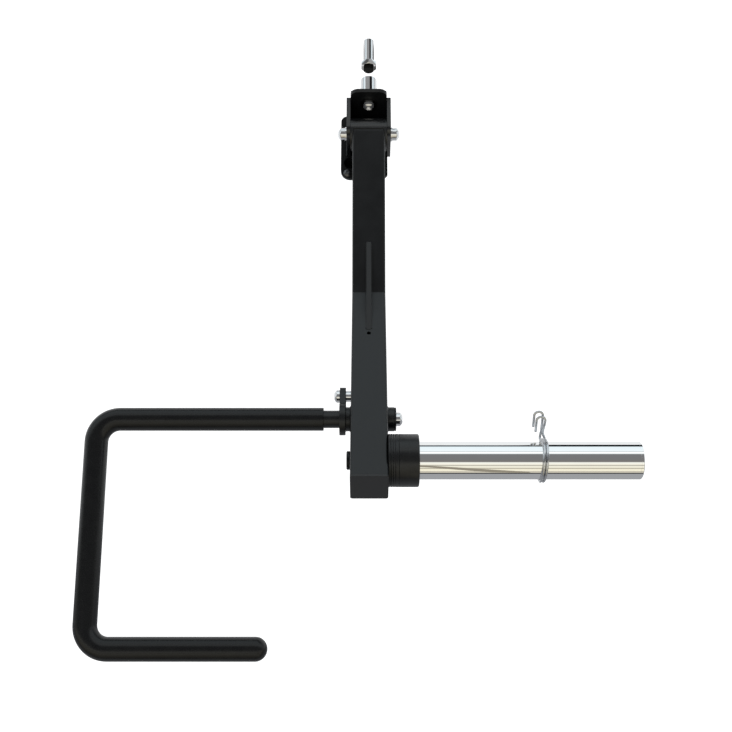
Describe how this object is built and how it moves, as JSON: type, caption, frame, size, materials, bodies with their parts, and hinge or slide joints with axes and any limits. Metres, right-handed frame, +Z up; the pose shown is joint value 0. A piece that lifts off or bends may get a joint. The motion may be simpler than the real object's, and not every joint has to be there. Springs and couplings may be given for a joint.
{
  "type": "rack jammer arm",
  "caption": "Bent square-tube lever arm that pivots on a rack pin bracket, with a U-shaped rubber-gripped push handle and a weight plate sleeve with a spring collar.",
  "frame": {"origin": "on the rack pin's axis, in the plane where the bracket's liner meets the rack upright", "axes": "+Y along the rack pin into the upright, +Z up, +X towards the weight sleeve; the arm points along -Y"},
  "size_m": [0.7446, 0.9263, 0.1803],
  "materials": {
    "powder_coat": "satin black powder coat",
    "black_steel": "black oxide",
    "plain_steel": "machined",
    "chrome": "bright hard chrome",
    "bronze": "sintered bronze",
    "grip_rubber": "satin black rubber",
    "black_rubber": "satin black rubber",
    "black_plastic": "fine matt black plastic"
  },
  "bodies": {
    "mount_bracket": {"back_plate": "powder_coat", "left_ear": "powder_coat", "right_ear": "powder_coat", "rest_shelf": "powder_coat", "pin_holder": "powder_coat", "shelf_screw": "black_steel", "rest_pad": "black_rubber", "upright_liner": "black_plastic", "rack_pin": "chrome", "rack_pin_bolt": "chrome", "rack_pin_washer": "black_steel", "pivot_axle": "plain_steel", "pivot_bolts": "chrome", "pivot_washers": "chrome", "spare_pin_rod": "chrome", "spare_pin_hex": "chrome", "spare_pin_thread": "black_steel"},
    "arm": {"pivot_tube": "powder_coat", "pivot_bushes": "bronze", "upper_tube": "powder_coat", "lower_tube": "powder_coat", "gusset_plate": "powder_coat", "arm_end_cap": "black_plastic", "handle_tube": "powder_coat", "handle_bushes": "bronze", "lock_bolt": "chrome", "lock_spacer": "chrome", "lock_nut": "plain_steel", "sleeve": "chrome", "sleeve_core": "plain_steel", "sleeve_bolt": "black_steel", "sleeve_bolt_spacer": "plain_steel", "sleeve_end_cap": "chrome", "stop_flange": "powder_coat", "stop_rings": "powder_coat", "stop_bumper": "black_rubber"},
    "push_handle": {"handle_bar": "powder_coat", "handle_end_plug": "plain_steel", "handle_grip": "grip_rubber", "index_plate": "powder_coat", "handle_end_washer": "powder_coat", "handle_end_bolt": "chrome"},
    "collar": {"spring_collar": "chrome"}
  },
  "joints": [
    {"name": "arm_pivot", "type": "hinge", "parent": "mount_bracket", "child": "arm", "pos_m": [0, -0.061, -0.0092], "axis": [-1, 0, 0], "range_deg": [0, 80]},
    {"name": "handle_swivel", "type": "hinge", "parent": "arm", "child": "push_handle", "pos_m": [0, -0.54063, 0.03384], "axis": [1, 0, 0], "range_deg": [-3, 60]},
    {"name": "collar_slide", "type": "slide", "parent": "arm", "child": "collar", "axis": [1, 0, 0], "range_m": [-0.156, 0.12]}
  ]
}
